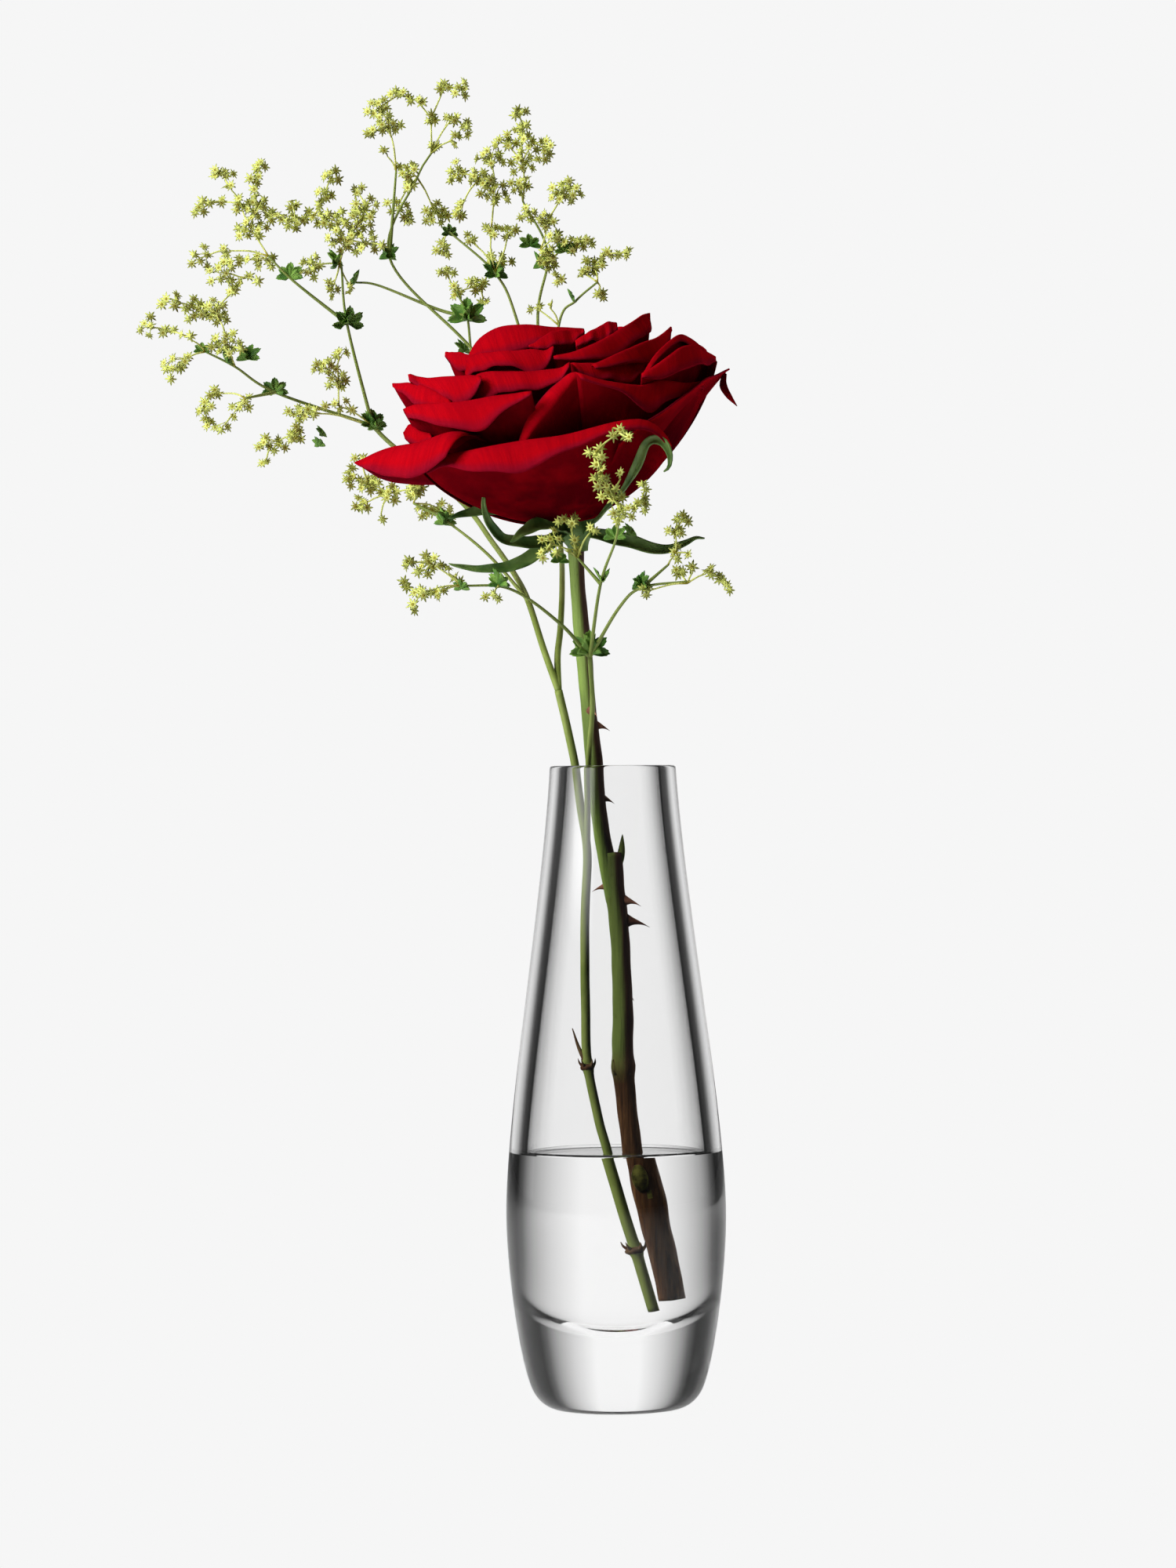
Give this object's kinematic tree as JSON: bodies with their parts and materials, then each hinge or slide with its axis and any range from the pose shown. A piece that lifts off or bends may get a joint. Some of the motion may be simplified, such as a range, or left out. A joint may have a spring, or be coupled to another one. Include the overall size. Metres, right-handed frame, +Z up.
{
  "type": "glass bud vase",
  "caption": "Heavy clear glass bud vase with a tapered neck and thick base, part filled with water and holding a rose and a sprig of lady's mantle that lift out.",
  "frame": {"origin": "centre of the underside of the vase's base", "axes": "+Z up the vase's axis, +X to the right and +Y to the back when seen from the front"},
  "size_m": [0.1628, 0.147, 0.367],
  "materials": {
    "clear_glass": "polished",
    "water": "polished",
    "rose_petal": "matte",
    "rose_green": "satin",
    "rose_wood": "satin",
    "thorn": "satin",
    "sepal_green": "satin",
    "sprig_green": "satin",
    "bract_brown": "matte",
    "leaf_green": "matte",
    "floret": "matte"
  },
  "bodies": {
    "vase": {"vase_glass": "clear_glass", "water": "water"},
    "sprig": {"sprig_main_stem": "sprig_green", "sprig_bracts": "bract_brown", "sprig_left_branch": "sprig_green", "sprig_back_branch": "sprig_green", "sprig_front_branch": "sprig_green", "sprig_leaves": "leaf_green", "spray_far_left": "floret", "spray_upper_left": "floret", "spray_low_left": "floret", "spray_top": "floret", "spray_top_right": "floret", "spray_right": "floret", "spray_front": "floret", "spray_front_left": "floret", "spray_front_right": "floret"},
    "rose": {"rose_cane": "rose_wood", "rose_stem": "rose_green", "rose_side_shoot": "rose_green", "rose_thorns": "thorn", "rose_hip": "rose_green", "rose_sepals": "sepal_green", "rose_outer_petals": "rose_petal", "rose_middle_petals": "rose_petal", "rose_upper_petals": "rose_petal", "rose_inner_petals": "rose_petal", "rose_heart": "rose_petal"}
  },
  "joints": [
    {"name": "flowers_lift", "type": "slide", "parent": "vase", "child": "sprig", "axis": [-0.02, 0, 0.9998], "range_m": [0, 0.155]},
    {"name": "rose_lift", "type": "slide", "parent": "sprig", "child": "rose", "axis": [-0.11, 0, 0.9939], "range_m": [0, 0.155]}
  ]
}
